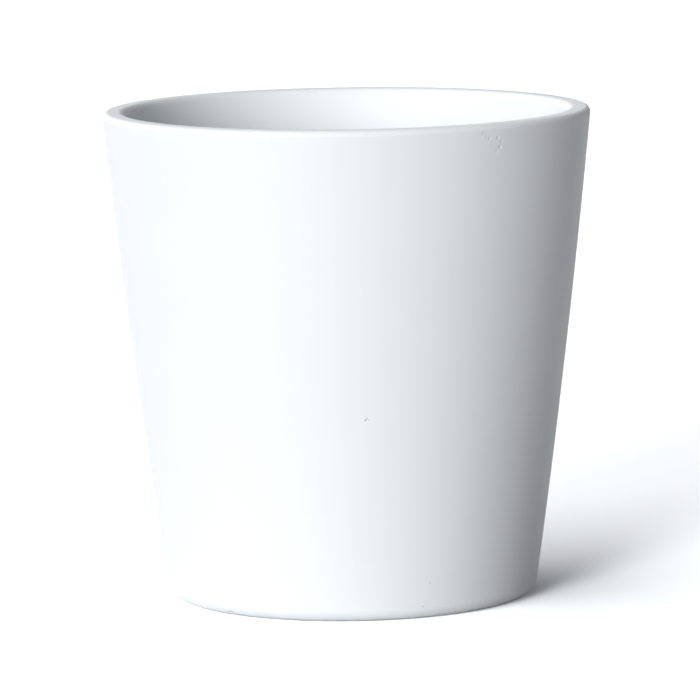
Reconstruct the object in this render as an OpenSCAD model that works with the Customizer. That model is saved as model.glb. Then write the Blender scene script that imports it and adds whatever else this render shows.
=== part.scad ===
// Tapered flower pot, cast in one piece, with a soft plug in its drain hole and four stick-on pads under it.
// The pot stands on z = 0 on its pads, with its axis on the Z axis. Sizes are in millimetres.

/* [Pot] */
// Outside diameter of the wall, carried up to the top of the rim
rim_d = 150; // [120:1:260]
// Height of the casting, from the foot ring to the top of the rim
pot_h = 150; // [100:1:260]
// Outside diameter of the wall, carried down to the foot ring
base_d = 113; // [90:1:150]
// How far the wall bulges out past a straight taper, halfway up
wall_bow = 0.9; // [0.3:0.1:3]
// Thickness of the wall
wall_t = 7; // [4.5:0.1:10]
// Thickness of the floor
floor_t = 6; // [4:0.1:12]

/* [Edges] */
// Radius of the rim's outer edge
rim_outer_r = 1.8; // [0.8:0.1:2]
// Radius of the rim's inner edge
rim_inner_r = 2.2; // [0.8:0.1:2.4]
// Radius of the foot's outer edge
foot_edge_r = 4.5; // [1:0.1:8]
// Radius inside, where the wall turns into the floor
inside_corner_r = 10; // [3:0.5:20]

/* [Foot ring] */
// Width of the flat ring that is ground under the wall
foot_ring_w = 6; // [3:0.5:12]
// Depth of the recess that the ring leaves under the floor
recess_depth = 2; // [1.8:0.1:2.9]
// Radius of the ring's inner edge, and of the recess's corner above it
recess_edge_r = 0.8; // [0.3:0.1:0.8]

/* [Drain hole] */
// Diameter of the hole through the floor
drain_d = 14; // [8:0.5:24]
// Radius of the hole's two edges
drain_edge_r = 1; // [0.4:0.1:1.9]

/* [Drain plug] */
// Gap between the plug's stem and the hole, on the radius
plug_clearance = 0.08; // [0.03:0.01:0.3]
// How far the stem narrows towards its tip, on the radius
plug_taper = 0.5; // [0.1:0.1:1.5]
// How far the stem's tip comes out below the floor
plug_tail = 1; // [0.3:0.1:1.6]
// How far the flange laps over the floor around the hole
plug_lap = 5; // [2.5:0.5:10]
// Thickness of the flange
plug_flange_t = 3; // [2.5:0.1:6]
// Diameter of the neck that carries the grip
plug_neck_d = 7; // [4:0.5:8.5]
// Length of the neck's straight part
plug_neck_h = 2.5; // [0.5:0.5:6]
// Diameter of the grip, a ball
plug_grip_d = 11; // [9:0.5:16]
// Radius of the plug's moulded edges
plug_edge_r = 1; // [0.4:0.1:1.2]

/* [Pads] */
// How far the pads lift the foot ring off the table
pad_proud = 0.1; // [0.05:0.05:2]
// Diameter of a pad
pad_d = 12; // [6:0.5:16]
// Gap between a pad and the side of the recess
pad_inset = 5; // [1:0.5:12]
// Radius of a pad's lower edge
pad_edge_r = 0.8; // [0.2:0.1:1]

/* [Hidden] */
$fn = 96;
PADS = ["foot_pad_front_left", "foot_pad_front_right", "foot_pad_back_right", "foot_pad_back_left"];

// Directions of the first pad and of the next ones, counted from +X
pad_first_angle = -143;
pad_step_angle = 360 / len(PADS);

// Straight pieces that make up a rounded edge and the bowed wall
edge_steps = 6;
wall_steps = 12;

rim_r = rim_d / 2;
base_r = base_d / 2;
floor_top = recess_depth + floor_t;
drain_r = drain_d / 2;

// The wall's outline is one long arc through the foot's corner and the rim's corner.
// wall_bow is its rise over the straight line between them, which leans out by wall_lean.
wall_run = [rim_r - base_r, pot_h];
wall_line = norm(wall_run);
wall_lean = atan2(wall_run[0], wall_run[1]);
bow_r = (wall_line * wall_line / 4 + wall_bow * wall_bow) / (2 * wall_bow);
bow_centre = [base_r, 0] + wall_run / 2 - (bow_r - wall_bow) * [cos(wall_lean), -sin(wall_lean)];

// Distance from the axis of the arc that lies inside the outer one by depth, at the height z
function wall_r(z, depth) = bow_centre[0] + sqrt(pow(bow_r - depth, 2) - pow(z - bow_centre[1], 2));

// Direction from the arc's centre to that point
function wall_angle(z, depth) = asin((z - bow_centre[1]) / (bow_r - depth));

// Points on an arc, both ends included
function arc(centre, r, from, to, steps = edge_steps) =
    [for (i = [0:steps]) let (a = from + (to - from) * i / steps) centre + r * [cos(a), sin(a)]];

foot_edge = [wall_r(foot_edge_r, foot_edge_r), foot_edge_r];
foot_edge_angle = wall_angle(foot_edge_r, foot_edge_r);
rim_outer = [wall_r(pot_h - rim_outer_r, rim_outer_r), pot_h - rim_outer_r];
rim_outer_angle = wall_angle(pot_h - rim_outer_r, rim_outer_r);
rim_inner_depth = wall_t - rim_inner_r;
rim_inner = [wall_r(pot_h - rim_inner_r, rim_inner_depth), pot_h - rim_inner_r];
rim_inner_angle = wall_angle(pot_h - rim_inner_r, rim_inner_depth);
corner_depth = wall_t + inside_corner_r;
corner = [wall_r(floor_top + inside_corner_r, corner_depth), floor_top + inside_corner_r];
corner_angle = wall_angle(floor_top + inside_corner_r, corner_depth);

// The ring is as wide as foot_ring_w, from where the foot's round edge meets the ground inwards
recess_r = foot_edge[0] - foot_ring_w;

module pot_body() {
    color("white")
        translate([0, 0, pad_proud])
            rotate_extrude()
                polygon(concat(
                    arc(foot_edge, foot_edge_r, -90, foot_edge_angle),
                    arc(bow_centre, bow_r, foot_edge_angle, rim_outer_angle, wall_steps),
                    arc(rim_outer, rim_outer_r, rim_outer_angle, 90),
                    arc(rim_inner, rim_inner_r, 90, 180 + rim_inner_angle),
                    arc(bow_centre, bow_r - wall_t, rim_inner_angle, corner_angle, wall_steps),
                    arc(corner, inside_corner_r, corner_angle, -90),
                    arc([drain_r + drain_edge_r, floor_top - drain_edge_r], drain_edge_r, 90, 180),
                    arc([drain_r + drain_edge_r, recess_depth + drain_edge_r], drain_edge_r, 180, 270),
                    arc([recess_r - recess_edge_r, recess_depth - recess_edge_r], recess_edge_r, 90, 0),
                    arc([recess_r + recess_edge_r, recess_edge_r], recess_edge_r, 180, 270)
                ));
}

// The plug is pushed in from inside the pot: its flange lies on the floor and its stem fills the hole.
stem_top_r = drain_r - plug_clearance;
stem_tip_r = stem_top_r - plug_taper;
stem_h = floor_t + plug_tail;
flange_r = drain_r + plug_lap;
neck_r = plug_neck_d / 2;
neck_top = plug_flange_t + plug_edge_r + plug_neck_h;
// The ball sits on the neck's top edge
grip_r = plug_grip_d / 2;
grip_from_angle = -acos(neck_r / grip_r);
grip_z = neck_top - grip_r * sin(grip_from_angle);

module drain_plug() {
    color("lightgray")
        translate([0, 0, pad_proud + floor_top])
            rotate_extrude()
                polygon(concat(
                    [[0, -stem_h]],
                    arc([stem_tip_r - plug_edge_r, plug_edge_r - stem_h], plug_edge_r, -90, 0),
                    [[stem_top_r, 0]],
                    arc([flange_r - plug_edge_r, plug_edge_r], plug_edge_r, -90, 0),
                    arc([flange_r - plug_edge_r, plug_flange_t - plug_edge_r], plug_edge_r, 0, 90),
                    arc([neck_r + plug_edge_r, plug_flange_t + plug_edge_r], plug_edge_r, 270, 180),
                    arc([0, grip_z], grip_r, grip_from_angle, 90)
                ));
}

// Each pad is stuck to the recessed floor, clear of the ring, and reaches down to the table.
pad_r = pad_d / 2;
pad_t = recess_depth + pad_proud;
pad_circle_r = recess_r - pad_inset - pad_r;

module foot_pad(i) {
    color("gainsboro")
        rotate(pad_first_angle + i * pad_step_angle)
            translate([pad_circle_r, 0, 0])
                rotate_extrude()
                    polygon(concat(
                        [[0, 0]],
                        arc([pad_r - pad_edge_r, pad_edge_r], pad_edge_r, -90, 0),
                        [[pad_r, pad_t], [0, pad_t]]
                    ));
}

pot_body();
drain_plug();
for (i = [0:len(PADS) - 1])
    foot_pad(i);
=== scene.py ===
import math
from collections import namedtuple

import bpy
import numpy as np
from mathutils import Matrix, Vector, noise


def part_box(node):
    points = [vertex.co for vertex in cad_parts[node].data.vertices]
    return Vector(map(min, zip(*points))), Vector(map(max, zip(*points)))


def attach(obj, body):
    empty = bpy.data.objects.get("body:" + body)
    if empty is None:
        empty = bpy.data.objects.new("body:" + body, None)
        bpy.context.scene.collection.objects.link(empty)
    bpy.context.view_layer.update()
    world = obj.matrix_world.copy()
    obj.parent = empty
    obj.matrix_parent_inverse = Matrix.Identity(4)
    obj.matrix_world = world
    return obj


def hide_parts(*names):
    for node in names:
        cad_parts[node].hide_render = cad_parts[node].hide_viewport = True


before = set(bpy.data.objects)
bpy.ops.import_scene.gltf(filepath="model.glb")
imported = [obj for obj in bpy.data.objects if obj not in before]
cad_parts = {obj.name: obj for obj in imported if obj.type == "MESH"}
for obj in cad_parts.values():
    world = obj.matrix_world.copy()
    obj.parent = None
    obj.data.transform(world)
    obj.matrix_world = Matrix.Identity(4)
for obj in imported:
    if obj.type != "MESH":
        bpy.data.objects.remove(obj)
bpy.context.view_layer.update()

# Camera. The photograph looks slightly down at the pot through a long lens, from 1.75 m away, aimed at the
# middle of the pot's height. The camera is turned by less than a degree about its own line of sight.
camera_distance = 1.7489
camera_elevation = math.radians(7.643)
camera_roll = math.radians(-0.827)
camera_aim = Vector((0.0001, 0, 0.07517))
camera_lens_mm = 291.85
camera_sensor_mm = 36
camera_clip_ratio = 100

camera = bpy.data.objects.new("camera", bpy.data.cameras.new("camera"))
bpy.context.scene.collection.objects.link(camera)
bpy.context.scene.camera = camera
camera.data.lens = camera_lens_mm
camera.data.sensor_width = camera_sensor_mm
camera.data.clip_start = camera_distance / camera_clip_ratio
camera.data.clip_end = camera_distance * camera_clip_ratio
camera_back = Vector((0, -math.cos(camera_elevation), math.sin(camera_elevation)))
camera_place = Vector((0, 0, camera_aim.z)) + camera_distance * camera_back
camera_turn = (camera_aim - camera_place).to_track_quat("-Z", "Y").to_matrix().to_4x4()
camera.matrix_world = Matrix.Translation(camera_place) @ camera_turn @ Matrix.Rotation(camera_roll, 4, "Z")

# Pot. One casting in pale clay: the clay sets against a plaster mould, its rim and foot are wiped round with
# a sponge, and a matte white coat is fired on, down to the edge of the foot. The underside stays bare clay.
MM = 0.001
rim_r = 75 * MM
base_r = 56.5 * MM
wall_bow = 0.9 * MM
wall_t = 7 * MM
floor_t = 6 * MM
rim_outer_r = 1.8 * MM
rim_inner_r = 2.2 * MM
foot_edge_r = 4.5 * MM
inside_corner_r = 10 * MM
foot_ring_w = 6 * MM
recess_depth = 2 * MM
recess_edge_r = 0.8 * MM
drain_r = 7 * MM
drain_edge_r = 1 * MM

pot_low, pot_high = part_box("pot_body")
foot_z = pot_low.z
rim_z = pot_high.z
floor_z = foot_z + recess_depth + floor_t

# The wall's outline is one long arc, as on the mould.
wall_run = Vector((rim_r - base_r, rim_z - foot_z))
wall_out = Vector((wall_run.y, -wall_run.x)).normalized()
bow_r = (wall_run.length_squared / 4 + wall_bow ** 2) / (2 * wall_bow)
bow_centre = Vector((base_r, foot_z)) + wall_run / 2 - (bow_r - wall_bow) * wall_out


def wall_radius(z, depth):
    """The radius of the wall at a height, depth below its outer face."""
    return bow_centre.x + math.sqrt((bow_r - depth) ** 2 - (z - bow_centre.y) ** 2)


def wall_slope(z, depth):
    """The angle of the wall's outward normal above the horizon, at a height."""
    return math.asin((z - bow_centre.y) / (bow_r - depth))


def arc(centre, radius, start, end, spacing):
    """Points on an arc of an outline, both ends included, about spacing apart."""
    steps = max(3, math.ceil(abs(end - start) * radius / spacing))
    angles = [start + (end - start) * i / steps for i in range(steps + 1)]
    return [(centre[0] + radius * math.cos(a), centre[1] + radius * math.sin(a)) for a in angles]


def straight(start, end, spacing):
    """Points on a straight stretch of an outline, without its ends."""
    steps = max(1, math.ceil(math.dist(start, end) / spacing))
    return [tuple(np.array(start) + (np.array(end) - start) * i / steps) for i in range(1, steps)]


def turned(name, outline, directions, closed):
    """A mesh turned from an outline of (radius, height) points. A point on the axis stays one point."""
    places, rings = [], []
    for radius, z in outline:
        if radius > 0:
            rings.append(range(len(places), len(places) + len(directions)))
            places += [(radius * math.cos(a), radius * math.sin(a), z) for a in directions]
        else:
            rings.append([len(places)])
            places.append((0, 0, z))
    faces = []
    for lower, upper in zip(rings, rings[1:] + (rings[:1] if closed else [])):
        for i in range(len(directions)):
            j = (i + 1) % len(directions)
            corners = (lower[i % len(lower)], lower[j % len(lower)],
                       upper[j % len(upper)], upper[i % len(upper)])
            faces.append(list(dict.fromkeys(corners)))
    mesh = bpy.data.meshes.new(name)
    mesh.from_pydata(places, [], faces)
    mesh.shade_smooth()
    piece = bpy.data.objects.new(name, mesh)
    bpy.context.scene.collection.objects.link(piece)
    return piece


# Small faults of the casting: burst bubbles and chips, which are bare clay inside, and shallow dents under
# the rim, along the foot and here and there on the wall. Each row gives the direction in degrees from +X, the
# height above the table, the size across, the size upwards and the depth in millimetres, and the share of
# clay colour put into it: bare clay in the bubbles and chips, and painted shade in the dents under the rim.
Fault = namedtuple("Fault", "direction height width tall depth bare")
faults = [Fault(direction, *(size * MM for size in sizes), clay_and_shade_share) for direction, *sizes, clay_and_shade_share in (
    (-85.94, 62.67, 0.60, 0.85, 0.50, 1),
    (-85.62, 63.18, 0.45, 0.45, 0.35, 1),
    (-85.34, 62.80, 0.40, 0.45, 0.12, 1),
    (-66.40, 11.28, 0.45, 0.45, 0.25, 1),
    (-68.50, 4.10, 0.45, 0.45, 0.20, 1),
    (-131.85, 1.30, 1.70, 1.20, 0.30, 1),
    (-131.05, 1.20, 1.50, 1.00, 0.25, 1),
    (-60.20, 1.10, 0.90, 0.60, 0.25, 1),
    (-57.27, 147.50, 1.10, 1.50, 0.10, 0.25),
    (-55.45, 145.85, 1.20, 1.50, 0.19, 0.25),
    (-53.05, 145.90, 1.00, 1.30, 0.22, 0.25),
    (-51.90, 144.60, 0.90, 1.80, 0.15, 0.25),
    (-52.25, 143.00, 1.30, 1.30, 0.17, 0.25),
    (-53.10, 142.10, 1.20, 1.00, 0.15, 0.25),
    (-56.35, 146.40, 0.60, 2.60, 0.06, 0.25),
    (-64.35, 127.60, 1.00, 1.40, 0.06, 0),
    (-55.10, 118.35, 1.20, 1.20, 0.06, 0),
    (-75.50, 103.00, 1.10, 1.10, 0.06, 0),
    (-141.20, 1.90, 1.60, 1.20, 0.140, 0),
    (-138.70, 1.50, 1.80, 1.00, 0.140, 0),
    (-135.20, 1.30, 2.20, 1.10, 0.120, 0),
)]

wall_spacing = 2.6 * MM
edge_spacing = 0.3 * MM
flat_spacing = edge_spacing * 2
corner_spacing = edge_spacing * 4
finest = 0.15 * MM
foot_spacing = finest * 1.2
points_over_fault = 4
crowded_share = 0.7
seam_share = 0.5
reach_share = 0.6


def finer_near(evenly, bands):
    """The values of evenly, with closer ones over each band of centre, reach and step. None are crowded."""
    kept = []
    for centre, reach, step in sorted(bands, key=lambda band: band[2]):
        count = round(reach / step)
        run = [centre + step * i for i in range(-count, count + 1)]
        kept += [value for value in run if all(abs(value - other) > step * crowded_share for other in kept)]
    kept += [value for value in evenly if all(abs(value - c) > r + s * seam_share for c, r, s in bands)]
    return sorted(kept)


def fault_spacing(fault):
    """How close the points of the mesh lie over a fault."""
    return min(max(min(fault.width, fault.tall) / points_over_fault, finest), edge_spacing)


def fault_reach(fault, size):
    """How far the close points go on either side of a fault of that size."""
    return size * reach_share + 2 * fault_spacing(fault)


foot_centre = (wall_radius(foot_z + foot_edge_r, foot_edge_r), foot_z + foot_edge_r)
foot_slope = wall_slope(foot_centre[1], foot_edge_r)
outer_rim_centre = (wall_radius(rim_z - rim_outer_r, rim_outer_r), rim_z - rim_outer_r)
outer_rim_slope = wall_slope(outer_rim_centre[1], rim_outer_r)
inner_rim_centre = (wall_radius(rim_z - rim_inner_r, wall_t - rim_inner_r), rim_z - rim_inner_r)
inner_rim_slope = wall_slope(inner_rim_centre[1], wall_t - rim_inner_r)
corner_centre = (wall_radius(floor_z + inside_corner_r, wall_t + inside_corner_r), floor_z + inside_corner_r)
corner_slope = wall_slope(corner_centre[1], wall_t + inside_corner_r)
recess_r = foot_centre[0] - foot_ring_w

foot_arc = arc(foot_centre, foot_edge_r, -math.pi / 2, foot_slope, foot_spacing)
outer_rim_arc = arc(outer_rim_centre, rim_outer_r, outer_rim_slope, math.pi / 2, edge_spacing)
inner_rim_arc = arc(inner_rim_centre, rim_inner_r, math.pi / 2, math.pi + inner_rim_slope, edge_spacing)
corner_arc = arc(corner_centre, inside_corner_r, corner_slope, -math.pi / 2, corner_spacing)
drain_low_z = foot_z + recess_depth
drain_top_centre = (drain_r + drain_edge_r, floor_z - drain_edge_r)
drain_low_centre = (drain_r + drain_edge_r, drain_low_z + drain_edge_r)
recess_top_centre = (recess_r - recess_edge_r, drain_low_z - recess_edge_r)
recess_low_centre = (recess_r + recess_edge_r, foot_z + recess_edge_r)
drain_top_arc = arc(drain_top_centre, drain_edge_r, math.pi / 2, math.pi, edge_spacing)
drain_low_arc = arc(drain_low_centre, drain_edge_r, math.pi, 1.5 * math.pi, edge_spacing)
recess_top_arc = arc(recess_top_centre, recess_edge_r, math.pi / 2, 0, edge_spacing)
recess_low_arc = arc(recess_low_centre, recess_edge_r, math.pi, 1.5 * math.pi, edge_spacing)

wall_low_z, wall_high_z = foot_arc[-1][1], outer_rim_arc[0][1]
wall_steps = math.ceil((wall_high_z - wall_low_z) / wall_spacing)
even_heights = [wall_low_z + (wall_high_z - wall_low_z) * i / wall_steps for i in range(1, wall_steps)]
fault_heights = [(fault.height, fault_reach(fault, fault.tall), fault_spacing(fault)) for fault in faults
                 if wall_low_z < fault.height < wall_high_z]
outer_wall = [(wall_radius(z, 0), z) for z in finer_near(even_heights, fault_heights)
              if wall_low_z + finest < z < wall_high_z - finest]
inner_wall = [(wall_radius(z, wall_t), z) for z in reversed(even_heights[::2])
              if corner_arc[0][1] + finest < z < inner_rim_arc[-1][1] - finest]

pot_outline = [
    *foot_arc, *outer_wall, *outer_rim_arc,
    *straight(outer_rim_arc[-1], inner_rim_arc[0], flat_spacing),
    *inner_rim_arc, *inner_wall, *corner_arc,
    *straight(corner_arc[-1], drain_top_arc[0], wall_spacing),
    *drain_top_arc,
    *straight(drain_top_arc[-1], drain_low_arc[0], wall_spacing),
    *drain_low_arc,
    *straight(drain_low_arc[-1], recess_top_arc[0], wall_spacing),
    *recess_top_arc,
    *straight(recess_top_arc[-1], recess_low_arc[0], edge_spacing),
    *recess_low_arc,
    *straight(recess_low_arc[-1], foot_arc[0], flat_spacing),
]

even_directions = [math.radians(-179 + 2 * i) for i in range(180)]
fault_directions = []
for fault in faults:
    radius = wall_radius(fault.height, 0)
    reach, step = fault_reach(fault, fault.width) / radius, fault_spacing(fault) / radius
    fault_directions.append((math.radians(fault.direction), reach, step))
pot_directions = finer_near(even_directions, fault_directions)
pot = turned("pot", pot_outline, pot_directions, closed=True)

# The hand-wiped surface is never quite round or even: everything here is taken off the true shape. The coat
# ends a hair above the foot ring. Inside the ring the clay is bare, up to the lower edge of the drain hole.
swell_depth = 0.06 * MM
swell_span = 46 * MM
ripple_depth = 0.03 * MM
ripple_span = 9 * MM
coat_end = 0.08 * MM
coat_fade = 0.04 * MM
recess_fade = 0.3 * MM
chip_fullness = 0.5
dent_fullness = 1.5
ragged_share = 0.6
ragged_span_share = 0.4

spots = np.empty(len(pot.data.vertices) * 3)
pot.data.vertices.foreach_get("co", spots)
spots = spots.reshape(-1, 3)
normals = np.empty(len(pot.data.vertices) * 3)
pot.data.vertex_normals.foreach_get("vector", normals)
normals = normals.reshape(-1, 3)


def uneven(points, span):
    """A smooth random number between 0 and 1 for each point, which changes over a distance of about span."""
    return np.array([0.5 + 0.5 * noise.noise(Vector(p) / span) for p in points])


taken_off = swell_depth * uneven(spots, swell_span) + ripple_depth * uneven(spots, ripple_span)
from_axis = np.hypot(spots[:, 0], spots[:, 1])
bare = np.clip((foot_z + coat_end - spots[:, 2]) / coat_fade, 0, 1)
in_recess = from_axis < recess_r + recess_edge_r
bare[in_recess] = np.clip((drain_low_z + drain_edge_r - spots[in_recess, 2]) / recess_fade, 0, 1)
skin_r, skin_z = np.array([*foot_arc, *outer_wall, *outer_rim_arc]).T
for fault in faults:
    angle = math.radians(fault.direction)
    out = np.array([math.cos(angle), math.sin(angle), 0])
    along = np.array([-math.sin(angle), math.cos(angle), 0])
    off = spots - out * np.interp(fault.height, skin_z, skin_r) - np.array([0, 0, fault.height])
    near = np.flatnonzero(np.linalg.norm(off, axis=1) < max(fault.width, fault.tall))
    off = off[near]
    sideways, inward, upward = off @ along / fault.width, off @ out / fault.tall, off[:, 2] / fault.tall
    far = 4 * (sideways ** 2 + inward ** 2 + upward ** 2)
    edge = 1 - ragged_share / 2 + ragged_share * uneven(off, fault.tall * ragged_span_share)
    hollow = np.clip(1 - far * edge, 0, 1) ** (chip_fullness if fault.bare == 1 else dent_fullness)
    taken_off[near] += fault.depth * hollow
    # Bubbles and chips show bare clay. The dents under the rim are painted a quarter of the way toward the
    # clay colour, most in their middle, as painted shade.
    bare[near] = np.maximum(bare[near], fault.bare * hollow)
spots -= normals * taken_off[:, None]
pot.data.vertices.foreach_set("co", spots.ravel())
pot.data.update()
pot.data.attributes.new("bare", "FLOAT", "POINT").data.foreach_set("value", bare)


class Signal:
    """An output of a shader node. Arithmetic on it adds Math nodes, and node() adds any other node."""

    def __init__(self, tree, socket=None):
        self.tree = tree
        self.socket = socket

    def node(self, kind, settings, inputs, output=0):
        """Adds a node, sets it, gives each input its value or link, and returns one output."""
        made = self.tree.nodes.new(kind)
        for name, value in settings.items():
            setattr(made, name, value)
        for name, value in inputs.items():
            if isinstance(value, Signal):
                self.tree.links.new(value.socket, made.inputs[name])
            else:
                made.inputs[name].default_value = value
        return Signal(self.tree, made.outputs[output] if made.outputs else None)

    def maths(self, operation, first, second):
        return self.node("ShaderNodeMath", {"operation": operation}, {0: first, 1: second})

    def __add__(self, other):
        return self.maths("ADD", self, other)

    def __radd__(self, other):
        return self.maths("ADD", other, self)

    def __mul__(self, other):
        return self.maths("MULTIPLY", self, other)


def new_finish(name):
    """An empty material, and the signal that its nodes are made from."""
    material = bpy.data.materials.new(name)
    material.use_nodes = True
    material.node_tree.nodes.clear()
    return material, Signal(material.node_tree)


def cloud(paint, place, span, detail=2.0, roughness=0.5):
    """A soft random pattern between 0 and 1, whose patches are about span across."""
    return paint.node("ShaderNodeTexNoise", {}, {
        "Vector": place, "Scale": 1 / span, "Detail": detail, "Roughness": roughness})


def blended(paint, factor, first, second):
    """A colour between two colours."""
    return paint.node("ShaderNodeMix", {"data_type": "RGBA"}, {0: factor, 6: first, 7: second}, output=2)


pot_white = (0.852, 0.880, 0.906, 1)
pot_white_shade = (0.818, 0.848, 0.876, 1)
clay = (0.580, 0.560, 0.530, 1)
clay_dark = (0.450, 0.430, 0.400, 1)
coat_roughness = 0.53
patch_roughness = 0.10
clay_roughness = 0.25
patch_span = 30 * MM
speck_span = 0.7 * MM
grain_span = 0.25 * MM
grain_depth = 0.010 * MM
dimple_span = 3.5 * MM
dimple_depth = 0.030 * MM
stroke_span = 1.1 * MM
stroke_depth = 0.008 * MM
stroke_stretch = (1, 1, 0.07)

coat, paint = new_finish("matte_white_coat")
place = paint.node("ShaderNodeTexCoord", {}, {}, output="Object")
# This mask is bare clay on the underside and in the chips, and painted shade in the dents under the rim.
clay_and_shade_mask = paint.node("ShaderNodeAttribute", {"attribute_name": "bare"}, {}, output="Fac")
patches = cloud(paint, place, patch_span)
specks = cloud(paint, place, speck_span)
grain = cloud(paint, place, grain_span, detail=3.0)
dimples = cloud(paint, place, dimple_span, detail=3.0)
upright = paint.node("ShaderNodeMapping", {}, {"Vector": place, "Scale": stroke_stretch})
strokes = cloud(paint, upright, stroke_span)
white = blended(paint, patches * 0.7 + specks * 0.3, pot_white_shade, pot_white)
raw = blended(paint, specks, clay_dark, clay)
relief = grain * grain_depth + dimples * dimple_depth + strokes * stroke_depth
bump = paint.node("ShaderNodeBump", {}, {"Height": relief, "Distance": 1.0, "Strength": 1.0})
shader = paint.node("ShaderNodeBsdfPrincipled", {}, {
    "Base Color": blended(paint, clay_and_shade_mask, white, raw),
    "Roughness": coat_roughness + patches * patch_roughness + clay_and_shade_mask * clay_roughness,
    "Diffuse Roughness": 0.2,
    "Specular IOR Level": 0.5,
    "Normal": bump,
})
paint.node("ShaderNodeOutputMaterial", {}, {"Surface": shader})
pot.data.materials.append(coat)

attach(pot, "pot")
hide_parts("pot_body")

# Drain plug. A soft stopper of grey silicone rubber, pushed into the drain hole from inside the pot. It comes
# out of a mould in two halves, which leaves a fine line over its grip, and shallow ribs on its stem seal it.
plug_clearance = 0.08 * MM
plug_taper = 0.5 * MM
plug_tail = 1.0 * MM
plug_lap = 5.0 * MM
plug_flange_t = 3.0 * MM
plug_neck_r = 3.5 * MM
plug_neck_h = 2.5 * MM
plug_grip_r = 5.5 * MM
plug_edge_r = 1.0 * MM
plug_ribs = 3
plug_rib_depth = 0.25 * MM
plug_line_width = 0.22 * MM
plug_line_height = 0.07 * MM
plug_spacing = 0.25 * MM
rubber_dark = (0.300, 0.310, 0.315, 1)
rubber_pale = (0.400, 0.408, 0.410, 1)
bloom_span = 3.0 * MM
lint_span = 0.35 * MM
skin_span = 0.12 * MM
skin_depth = 0.006 * MM

stem_top_r = drain_r - plug_clearance
stem_tip_r = stem_top_r - plug_taper
stem_low_z = floor_z - floor_t - plug_tail
flange_r = drain_r + plug_lap
flange_z = floor_z + plug_flange_t
neck_top_z = flange_z + plug_edge_r + plug_neck_h
grip_start = -math.acos(plug_neck_r / plug_grip_r)
grip_z = neck_top_z - plug_grip_r * math.sin(grip_start)

tip_centre = (stem_tip_r - plug_edge_r, stem_low_z + plug_edge_r)
tip_arc = arc(tip_centre, plug_edge_r, -math.pi / 2, 0, plug_spacing)
stem_steps = math.ceil((floor_z - tip_arc[-1][1]) / plug_spacing)
stem_line = []
for step in range(1, stem_steps):
    share = step / stem_steps
    groove = plug_rib_depth * (0.5 - 0.5 * math.cos(2 * math.pi * plug_ribs * share))
    stem_line.append((stem_tip_r + (stem_top_r - stem_tip_r) * share - groove,
                      tip_arc[-1][1] + (floor_z - tip_arc[-1][1]) * share))
flange_low_centre = (flange_r - plug_edge_r, floor_z + plug_edge_r)
flange_top_centre = (flange_r - plug_edge_r, flange_z - plug_edge_r)
neck_centre = (plug_neck_r + plug_edge_r, flange_z + plug_edge_r)
flange_low_arc = arc(flange_low_centre, plug_edge_r, -math.pi / 2, 0, plug_spacing)
flange_top_arc = arc(flange_top_centre, plug_edge_r, 0, math.pi / 2, plug_spacing)
neck_arc = arc(neck_centre, plug_edge_r, 1.5 * math.pi, math.pi, plug_spacing)
grip_arc = arc((0, grip_z), plug_grip_r, grip_start, math.pi / 2, plug_spacing)[:-1]
plug_outline = [
    (0, stem_low_z), *straight((0, stem_low_z), tip_arc[0], plug_spacing * 3), *tip_arc, *stem_line,
    (stem_top_r, floor_z), *straight((stem_top_r, floor_z), flange_low_arc[0], plug_spacing * 2),
    *flange_low_arc, *straight(flange_low_arc[-1], flange_top_arc[0], plug_spacing), *flange_top_arc,
    *straight(flange_top_arc[-1], neck_arc[0], plug_spacing * 2), *neck_arc,
    *straight(neck_arc[-1], grip_arc[0], plug_spacing), *grip_arc, (0, grip_z + plug_grip_r),
]
line_directions = [math.radians(20), math.radians(-160)]
line_reach = 0.06
line_step = 0.008
plug_even_directions = [math.radians(-178.5 + 3 * i) for i in range(120)]
line_bands = [(line, line_reach, line_step) for line in line_directions]
plug_directions = finer_near(plug_even_directions, line_bands)
plug = turned("drain_stopper", plug_outline, plug_directions, closed=False)

# The mould's parting line stands a hair proud, everywhere but on the stem.
for vertex in plug.data.vertices:
    if vertex.co.z > floor_z + plug_edge_r:
        across = vertex.co.x * math.sin(line_directions[0]) - vertex.co.y * math.cos(line_directions[0])
        ridge = plug_line_height * math.exp(-(across / plug_line_width) ** 2)
        vertex.co += vertex.normal * ridge
plug.data.update()

rubber, paint = new_finish("silicone_rubber")
place = paint.node("ShaderNodeTexCoord", {}, {}, output="Object")
bloom = cloud(paint, place, bloom_span, detail=4.0, roughness=0.6)
lint = cloud(paint, place, lint_span)
skin = cloud(paint, place, skin_span)
bump = paint.node("ShaderNodeBump", {}, {"Height": skin * skin_depth, "Distance": 1.0, "Strength": 1.0})
shader = paint.node("ShaderNodeBsdfPrincipled", {}, {
    "Base Color": blended(paint, bloom * 0.8 + lint * 0.2, rubber_dark, rubber_pale),
    "Roughness": 0.48 + bloom * 0.22,
    "Specular IOR Level": 0.45,
    "Normal": bump,
})
paint.node("ShaderNodeOutputMaterial", {}, {"Surface": shader})
plug.data.materials.append(rubber)

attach(plug, "plug")
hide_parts("drain_plug")

# Foot pads. Four soft bumpers of clear grey polyurethane, each cast on a disc of sticky film and pressed onto
# the recessed underside, clear of the foot ring. They carry the pot and keep its ring off the table.
pad_edge_r = 0.8 * MM
pad_spacing = 0.2 * MM
film_t = 0.2 * MM
film_inset = 0.25 * MM
bumper_dark = (0.42, 0.43, 0.425, 1)
bumper_pale = (0.56, 0.565, 0.56, 1)
film_dark = (0.50, 0.49, 0.46, 1)
film_pale = (0.62, 0.61, 0.58, 1)
haze_span = 4.0 * MM
dust_span = 0.3 * MM
fibre_span = 0.5 * MM
pad_crease = math.radians(50)

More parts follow.
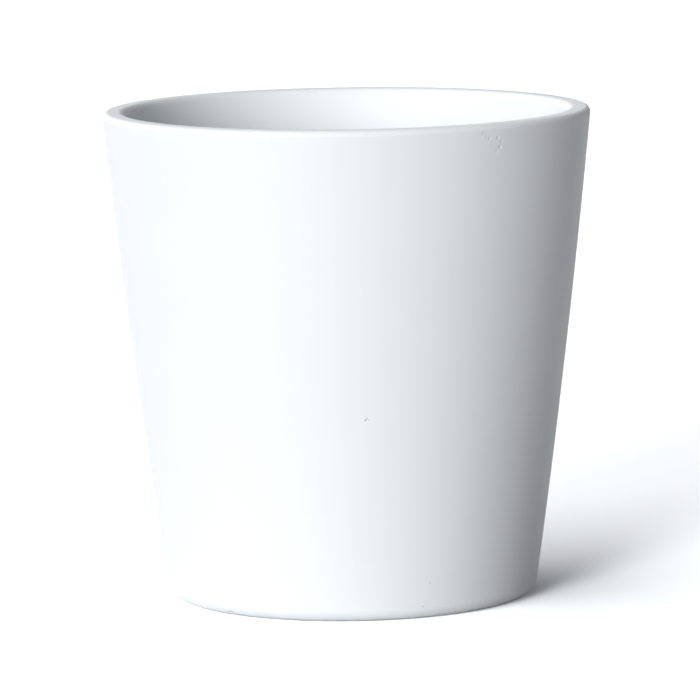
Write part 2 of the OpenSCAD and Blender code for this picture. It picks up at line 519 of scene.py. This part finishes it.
bumper_finish, paint = new_finish("soft_polyurethane")
place = paint.node("ShaderNodeTexCoord", {}, {}, output="Object")
haze = cloud(paint, place, haze_span, detail=4.0)
dust = cloud(paint, place, dust_span, detail=1.0)
shader = paint.node("ShaderNodeBsdfPrincipled", {}, {
    "Base Color": blended(paint, haze * 0.7 + dust * 0.3, bumper_dark, bumper_pale),
    "Roughness": 0.22 + haze * 0.25,
    "Specular IOR Level": 0.5,
})
paint.node("ShaderNodeOutputMaterial", {}, {"Surface": shader})

film_finish, paint = new_finish("sticky_film")
place = paint.node("ShaderNodeTexCoord", {}, {}, output="Object")
fibres = cloud(paint, place, fibre_span, detail=3.0)
shader = paint.node("ShaderNodeBsdfPrincipled", {}, {
    "Base Color": blended(paint, fibres, film_dark, film_pale),
    "Roughness": 0.5 + fibres * 0.3,
    "Specular IOR Level": 0.4,
})
paint.node("ShaderNodeOutputMaterial", {}, {"Surface": shader})

pad_directions = [math.radians(5 * i) for i in range(72)]
for corner in ("front_left", "front_right", "back_right", "back_left"):
    pad_low, pad_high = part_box("foot_pad_" + corner)
    pad_r = (pad_high.x - pad_low.x) / 2
    film_z = pad_high.z - film_t
    crown_arc = arc((pad_r - pad_edge_r, pad_low.z + pad_edge_r), pad_edge_r, -math.pi / 2, 0, pad_spacing)
    pad_outline = [
        (0, pad_low.z), *straight((0, pad_low.z), crown_arc[0], pad_spacing * 4), *crown_arc,
        *straight(crown_arc[-1], (pad_r, film_z), pad_spacing), (pad_r, film_z), (pad_r - film_inset, film_z),
        (pad_r - film_inset, pad_high.z), (0, pad_high.z),
    ]
    bumper = turned("bumper_" + corner, pad_outline, pad_directions, closed=False)
    bumper.data.materials.append(bumper_finish)
    bumper.data.materials.append(film_finish)
    for face in bumper.data.polygons:
        face.material_index = int(face.center.z > film_z + film_t / 10)
    bumper.data.set_sharp_from_angle(angle=pad_crease)
    pad_centre = (pad_low + pad_high) / 2
    bumper.data.transform(Matrix.Translation((pad_centre.x, pad_centre.y, 0)))
    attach(bumper, "pot")
    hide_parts("foot_pad_" + corner)

# Studio. A pale matte sweep under the pot, lit by wide soft lights from far away. The sweep and the air
# behind it look white to the camera and in reflections, but the light that they send to the pot stays plain.
floor_half = 6.0
floor_mesh = bpy.data.meshes.new("floor")
floor_corners = [(-floor_half, -floor_half, 0), (floor_half, -floor_half, 0),
                 (floor_half, floor_half, 0), (-floor_half, floor_half, 0)]
floor_mesh.from_pydata(floor_corners, [], [(0, 1, 2, 3)])
floor = bpy.data.objects.new("floor", floor_mesh)
bpy.context.scene.collection.objects.link(floor)

sweep_grey = (0.5, 0.5, 0.5, 1)
sweep_white = (2.44, 2.50, 2.58, 1)


def seen_directly(paint):
    """1 for a ray from the camera, in a reflection or through glass, and 0 for one that carries light."""
    path = [paint.node("ShaderNodeLightPath", {}, {}, output=name)
            for name in ("Is Camera Ray", "Is Glossy Ray", "Is Transmission Ray")]
    return path[0] + path[1] + path[2]


sweep, paint = new_finish("pale_sweep")
matte = paint.node("ShaderNodeBsdfDiffuse", {}, {
    "Color": blended(paint, seen_directly(paint), sweep_grey, sweep_white)})
paint.node("ShaderNodeOutputMaterial", {}, {"Surface": matte})
floor_mesh.materials.append(sweep)

world = bpy.data.worlds.new("studio")
world.use_nodes = True
world.node_tree.nodes.clear()
bpy.context.scene.world = world
air = Signal(world.node_tree)
glow = air.node("ShaderNodeBackground", {}, {"Color": (1, 1, 1, 1), "Strength": seen_directly(air)})
air.node("ShaderNodeOutputWorld", {}, {"Surface": glow})


def soft_light(name, direction, elevation, spread, strength):
    """A wide light from far away. Angles are in degrees, and direction runs from the camera to its left."""
    lamp = bpy.data.objects.new(name, bpy.data.lights.new(name, "SUN"))
    lamp.data.angle = math.radians(spread)
    lamp.data.energy = strength
    a, e = math.radians(direction), math.radians(elevation)
    toward = Vector((-math.sin(a) * math.cos(e), -math.cos(a) * math.cos(e), math.sin(e)))
    lamp.matrix_world = (-toward).to_track_quat("-Z", "Y").to_matrix().to_4x4()
    bpy.context.scene.collection.objects.link(lamp)


soft_light("key", direction=25, elevation=12, spread=20, strength=2.3)
soft_light("side key", direction=45, elevation=12, spread=20, strength=0.5)
soft_light("high side", direction=75, elevation=60, spread=60, strength=0.9)
soft_light("back", direction=140, elevation=8, spread=60, strength=1.2)
soft_light("right front", direction=-30, elevation=8, spread=60, strength=0.45)

bpy.context.scene.view_settings.view_transform = "Standard"
